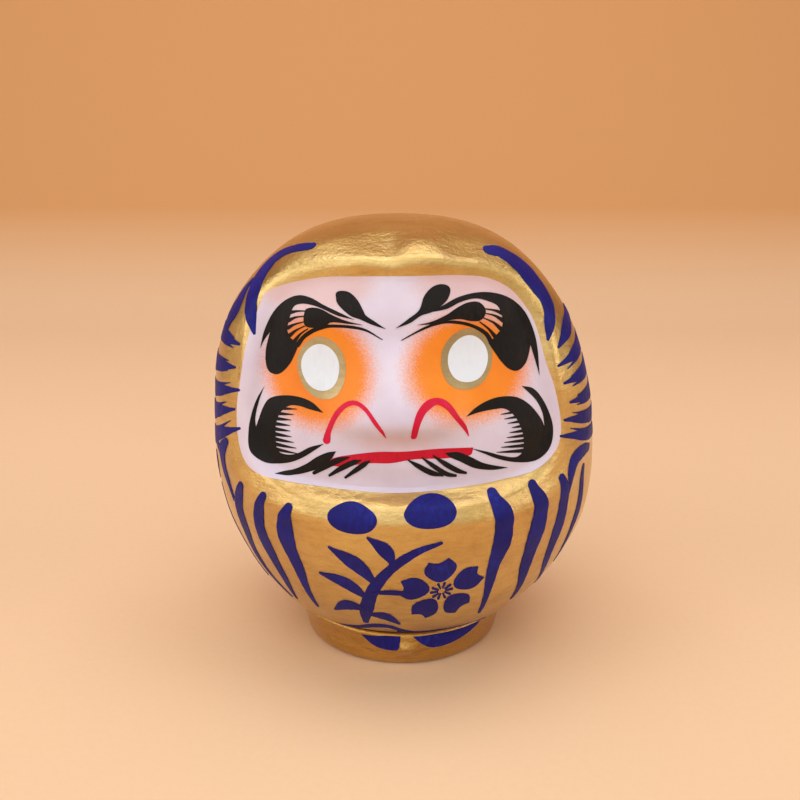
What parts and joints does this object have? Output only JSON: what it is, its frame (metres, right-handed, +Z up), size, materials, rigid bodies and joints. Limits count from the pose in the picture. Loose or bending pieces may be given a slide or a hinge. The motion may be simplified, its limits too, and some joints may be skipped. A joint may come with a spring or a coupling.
{
  "type": "daruma doll",
  "caption": "Hollow round tumbler doll of moulded paper with a sunken painted face under a hood, brushed stripes down its gold body, standing on a weighted clay foot",
  "frame": {"origin": "on the table, under the middle of the round foot", "axes": "+Z up through the crown, the face looks along -Y, +X is to the right of a viewer who faces the doll"},
  "size_m": [0.108, 0.1027, 0.1222],
  "materials": {
    "gold_lacquer": "satin metallic gold paint over primed moulded paper",
    "gold_foot": "satin metallic gold paint over fired clay",
    "seam_paper": "plain handmade paper, pasted",
    "hide_glue": "dried amber glue",
    "base_paper": "plain paper, unpainted",
    "face_paint": "matt pale lilac-white paint with airbrushed orange",
    "black_paint": "brushed satin black paint",
    "blue_paint": "brushed satin deep blue paint",
    "red_paint": "brushed satin crimson paint",
    "eye_white_paint": "matt white paint",
    "eye_ring_paint": "dull bronze paint, coarse"
  },
  "bodies": {
    "root": {"front_shell": "gold_lacquer", "back_shell": "gold_lacquer", "seam_strip_left": "seam_paper", "seam_strip_right": "seam_paper", "seam_strip_crown": "seam_paper", "clay_foot": "gold_foot", "glue_ring": "hide_glue", "base_paper": "base_paper"}
  },
  "joints": []
}
